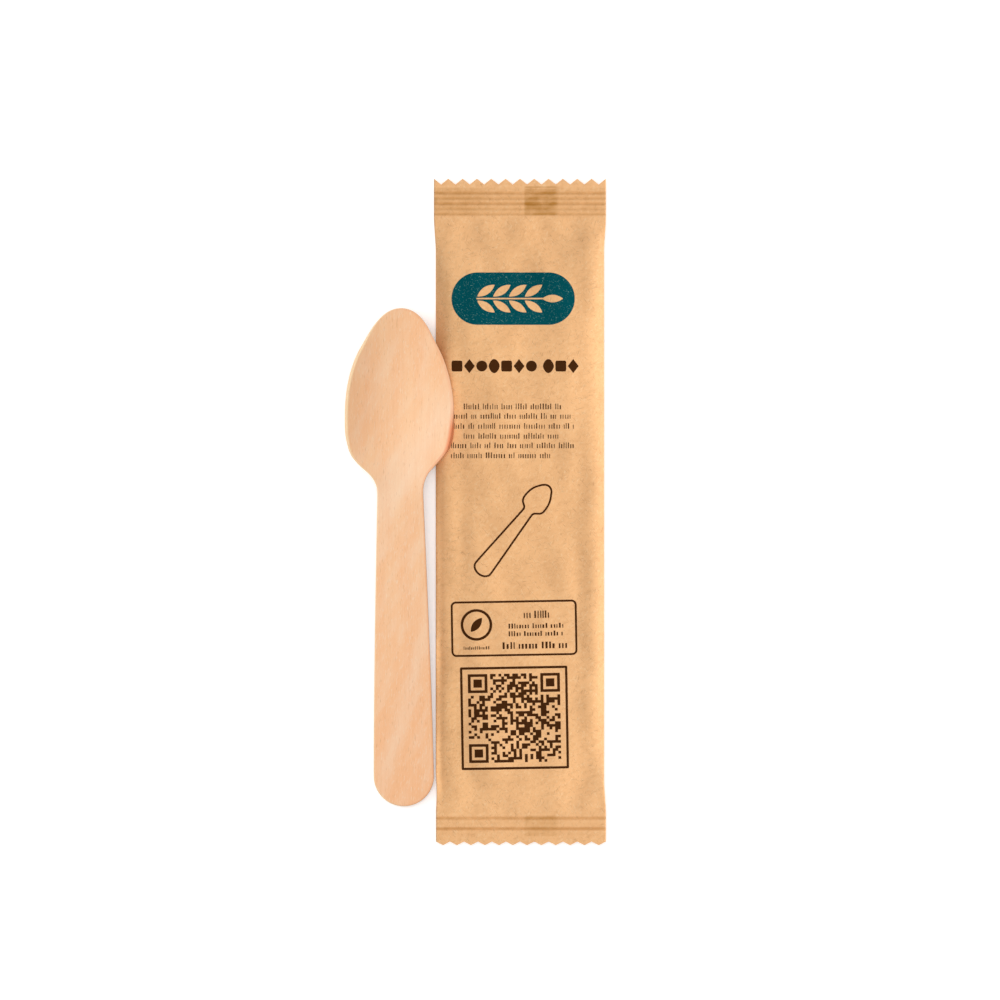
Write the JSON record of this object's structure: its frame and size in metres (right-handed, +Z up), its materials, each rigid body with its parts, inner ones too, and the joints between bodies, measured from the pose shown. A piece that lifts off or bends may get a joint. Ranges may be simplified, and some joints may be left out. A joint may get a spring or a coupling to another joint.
{
  "type": "wrapped wooden teaspoon with its paper sachet",
  "caption": "Kraft paper flow-wrap sachet, crimped and zigzag cut at both ends, with a pressed wooden teaspoon lying beside it, its bowl over the sachet's edge.",
  "frame": {"origin": "middle of the footprint of sachet and spoon together, on the surface that they lie on", "axes": "+Z up from the surface, +Y along the sachet towards the tips of the bowl and the top seal, +X across, from the spoon towards the sachet"},
  "size_m": [0.0578, 0.1474, 0.0069],
  "materials": {
    "kraft_paper": "matt brown kraft paper, printed in teal and dark brown",
    "birch_veneer": "sanded birch veneer, uncoated"
  },
  "bodies": {
    "root": {"sachet": "kraft_paper", "teaspoon": "birch_veneer"}
  },
  "joints": []
}
